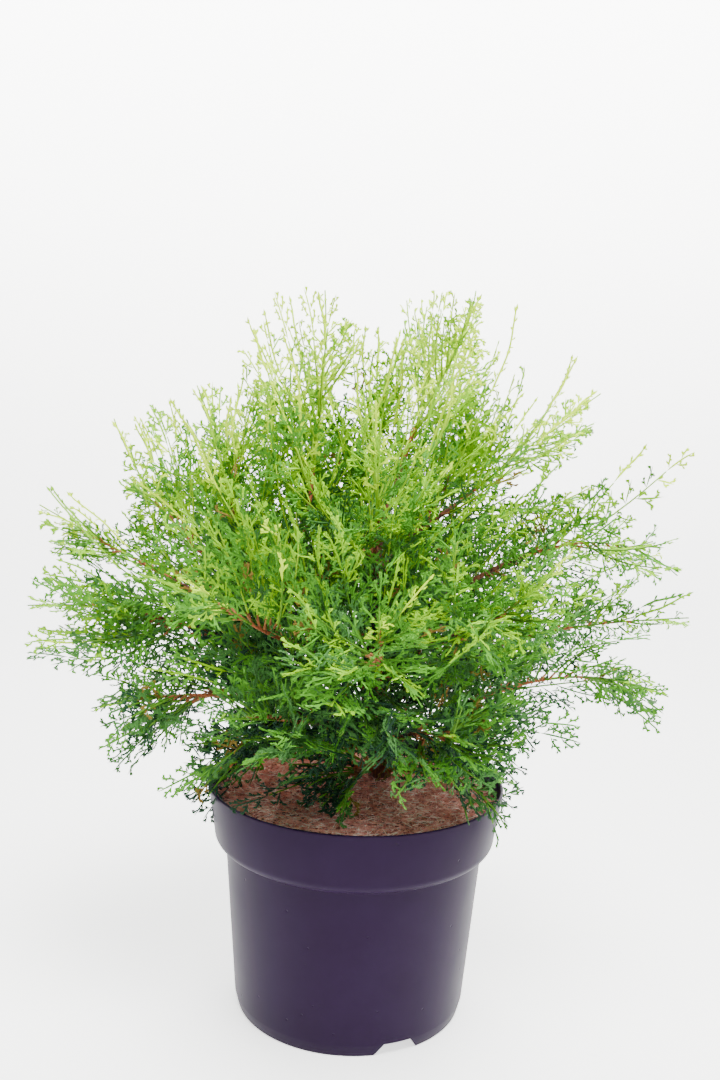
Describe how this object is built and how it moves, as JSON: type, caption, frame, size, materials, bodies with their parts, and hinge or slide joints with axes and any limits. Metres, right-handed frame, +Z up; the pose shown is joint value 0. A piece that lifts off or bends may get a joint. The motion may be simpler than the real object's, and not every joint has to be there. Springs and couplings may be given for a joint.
{
  "type": "dwarf cypress in a nursery pot",
  "caption": "Small bushy evergreen conifer with a short leaning trunk, forked boughs and flat fan-like sprays, growing in a round tapered plastic pot topped with a coconut fibre disc.",
  "frame": {"origin": "middle of the flat underside of the pot, at the height of the surface it stands on", "axes": "+Z up, +X to the right and -Y towards the viewer in the picture"},
  "size_m": [0.5326, 0.4148, 0.602],
  "materials": {
    "pot_plastic": "moulded, satin, very dark purple",
    "potting_compost": "moist, crumbly, dark brown",
    "coconut_fibre": "matted coarse fibre, reddish brown",
    "bark": "thin stringy bark, reddish brown",
    "scale_leaf": "soft waxy green"
  },
  "bodies": {
    "root": {"pot": "pot_plastic", "root_ball": "potting_compost", "fibre_disc": "coconut_fibre", "trunk": "bark", "bough_top_left": "bark", "bough_top_back": "bark", "bough_upper_left": "bark", "bough_upper_right": "bark", "bough_upper_front": "bark", "bough_upper_back_right": "bark", "bough_upper_back_left": "bark", "bough_far_left_high": "bark", "bough_left": "bark", "bough_front_left": "bark", "bough_front": "bark", "bough_front_right": "bark", "bough_right_arch": "bark", "bough_back_right": "bark", "bough_back": "bark", "bough_back_left": "bark", "bough_low_left": "bark", "bough_lower_left": "bark", "bough_low_front_left": "bark", "bough_low_front_right": "bark", "bough_right": "bark", "bough_lower_right": "bark", "foliage_top_right": "scale_leaf", "foliage_top_left": "scale_leaf", "foliage_top_back": "scale_leaf", "foliage_upper_left": "scale_leaf", "foliage_upper_right": "scale_leaf", "foliage_upper_front": "scale_leaf", "foliage_upper_back_right": "scale_leaf", "foliage_upper_back_left": "scale_leaf", "foliage_far_left_high": "scale_leaf", "foliage_left": "scale_leaf", "foliage_front_left": "scale_leaf", "foliage_front": "scale_leaf", "foliage_front_right": "scale_leaf", "foliage_right_arch": "scale_leaf", "foliage_back_right": "scale_leaf", "foliage_back": "scale_leaf", "foliage_back_left": "scale_leaf", "foliage_low_left": "scale_leaf", "foliage_lower_left": "scale_leaf", "foliage_low_front_left": "scale_leaf", "foliage_low_front_right": "scale_leaf", "foliage_right": "scale_leaf", "foliage_lower_right": "scale_leaf", "foliage_low_back_right": "scale_leaf", "foliage_low_back": "scale_leaf", "foliage_low_back_left": "scale_leaf", "foliage_inner_left": "scale_leaf", "foliage_inner_front": "scale_leaf", "foliage_inner_right": "scale_leaf", "foliage_inner_back": "scale_leaf", "foliage_skirt_left": "scale_leaf", "foliage_skirt_front": "scale_leaf", "foliage_skirt_right": "scale_leaf"}
  },
  "joints": []
}
